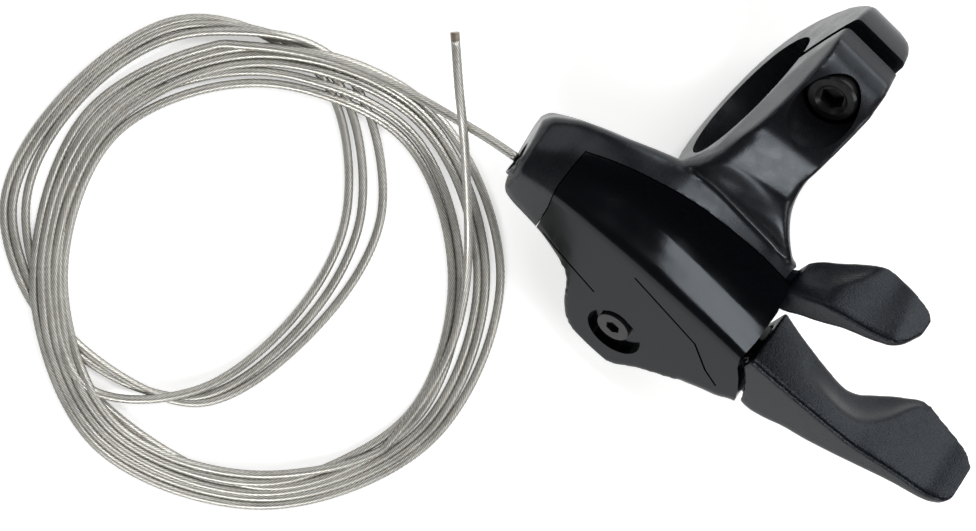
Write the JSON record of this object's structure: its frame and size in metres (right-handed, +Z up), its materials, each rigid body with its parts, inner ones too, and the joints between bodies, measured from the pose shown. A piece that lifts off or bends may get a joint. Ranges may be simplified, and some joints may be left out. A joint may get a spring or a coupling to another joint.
{
  "type": "fork lockout lever",
  "caption": "Under-bar fork lockout control: split bar clamp cast with its housing, glossy cover, long lock lever, short release lever and a coil of bare inner cable.",
  "frame": {"origin": "middle of the handlebar bore", "axes": "+X along the handlebar towards the levers, +Y towards the clamp ears, +Z up, away from the surface it lies on"},
  "size_m": [0.1252, 0.1249, 0.0353],
  "materials": {
    "cast_black": "satin gloss black paint on cast aluminium",
    "gloss_black": "polished black plastic",
    "lever_black": "fine grained charcoal plastic",
    "black_steel": "black oxide steel",
    "bronze": "plain bearing bronze",
    "spool_alloy": "turned",
    "washer_plastic": "slippery plastic",
    "dark_alloy": "black anodised",
    "steel": "bright steel",
    "cable_strand": "stranded stainless wire",
    "cable_tip": "fused wire end"
  },
  "bodies": {
    "housing": {"clamp_body": "cast_black", "clamp_screw": "black_steel", "front_cover": "gloss_black", "cover_screws": "steel", "pivot_screw": "black_steel", "pivot_bush": "bronze", "pivot_nut": "steel", "outer_washer": "washer_plastic", "inner_washer": "washer_plastic", "cable_stop": "dark_alloy", "release_pin": "steel", "pin_clip": "steel", "cable_inside": "cable_strand", "return_spring": "steel", "release_spring": "steel", "cable_lead": "cable_strand", "cable_coil": "cable_strand", "cable_free_end": "cable_strand", "cable_tip": "cable_tip"},
    "lock": {"lock_lever": "lever_black", "lever_arm": "black_steel", "arm_pins": "black_steel", "cable_spool": "spool_alloy", "cable_nipple": "steel", "wrapped_cable": "cable_strand"},
    "release": {"release_lever": "lever_black", "latch_pawl": "steel", "pawl_pin": "steel"}
  },
  "joints": [
    {"name": "lock_pivot", "type": "hinge", "parent": "housing", "child": "lock", "pos_m": [0.0042, -0.0366, -0.0044], "axis": [0, 0.788, -0.6157], "range_deg": [0, 18], "stiffness_Nm_per_rad": 0.12, "springref_deg": -14.32, "deforming": ["return_spring"]},
    {"name": "release_pivot", "type": "hinge", "parent": "housing", "child": "release", "pos_m": [0.0072, -0.02613, 0.009], "axis": [0, 0.788, -0.6157], "range_deg": [0, 10], "stiffness_Nm_per_rad": 0.05, "springref_deg": -11.46, "deforming": ["release_spring"]}
  ]
}
